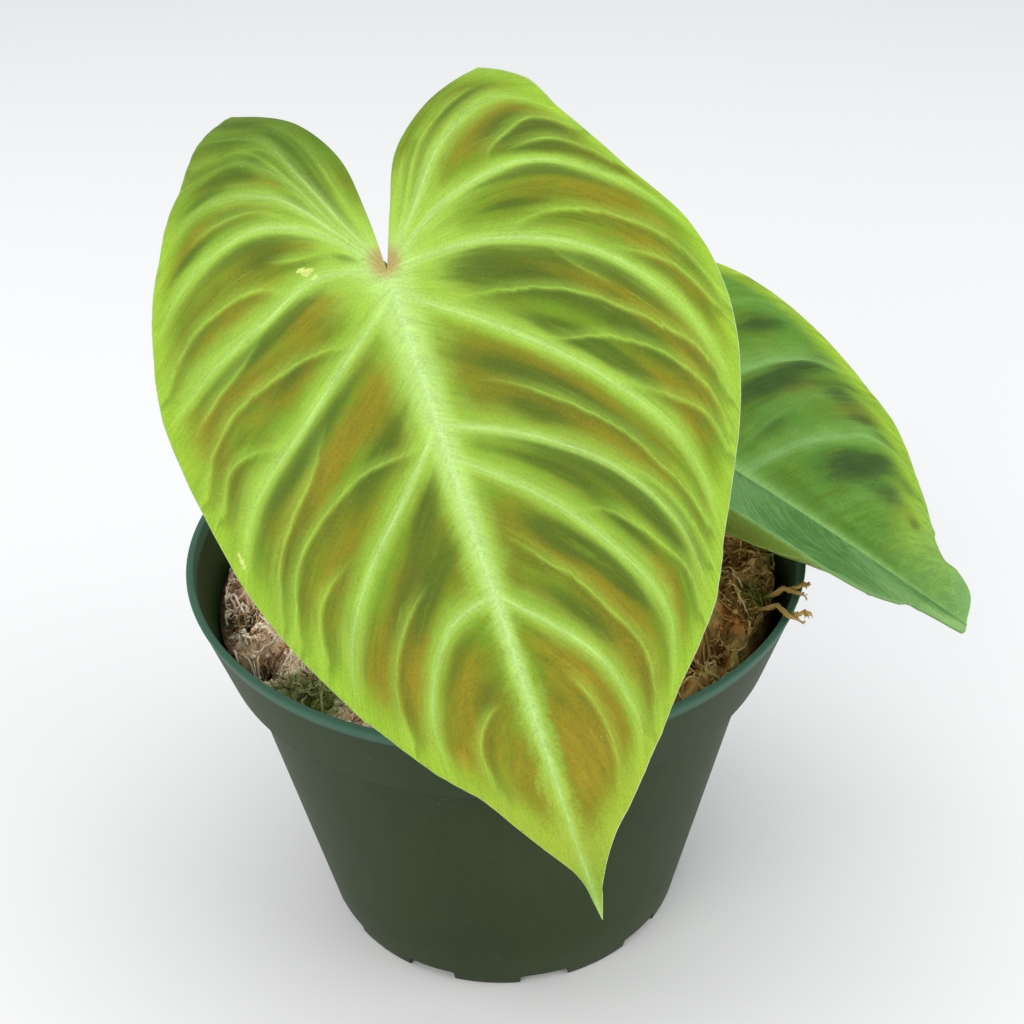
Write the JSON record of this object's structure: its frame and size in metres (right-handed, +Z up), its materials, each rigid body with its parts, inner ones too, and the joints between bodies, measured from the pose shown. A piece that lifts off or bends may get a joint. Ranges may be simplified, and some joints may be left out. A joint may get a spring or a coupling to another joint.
{
  "type": "potted philodendron",
  "caption": "Young philodendron with quilted, pale-veined heart leaves on a short stem, standing in a dark green nursery pot of long-fibre moss.",
  "frame": {"origin": "middle of the pot's underside, where it rests", "axes": "+Z up, -Y towards the side the front leaf faces, +X towards the back leaf"},
  "size_m": [0.2155, 0.2013, 0.2499],
  "materials": {
    "pot_plastic": "moulded dark green plastic, satin",
    "moss": "dry tan and brown moss fibres",
    "stem_skin": "fresh olive green stem with leaf scars",
    "petiole_skin": "reddish green stalk with short bristles",
    "leaf_blade": "velvety quilted leaf with pale green veins"
  },
  "bodies": {
    "root": {"pot": "pot_plastic", "sphagnum_moss": "moss", "stem": "stem_skin", "petiole_front": "petiole_skin", "petiole_back": "petiole_skin", "leaf_front": "leaf_blade", "leaf_back": "leaf_blade"}
  },
  "joints": []
}
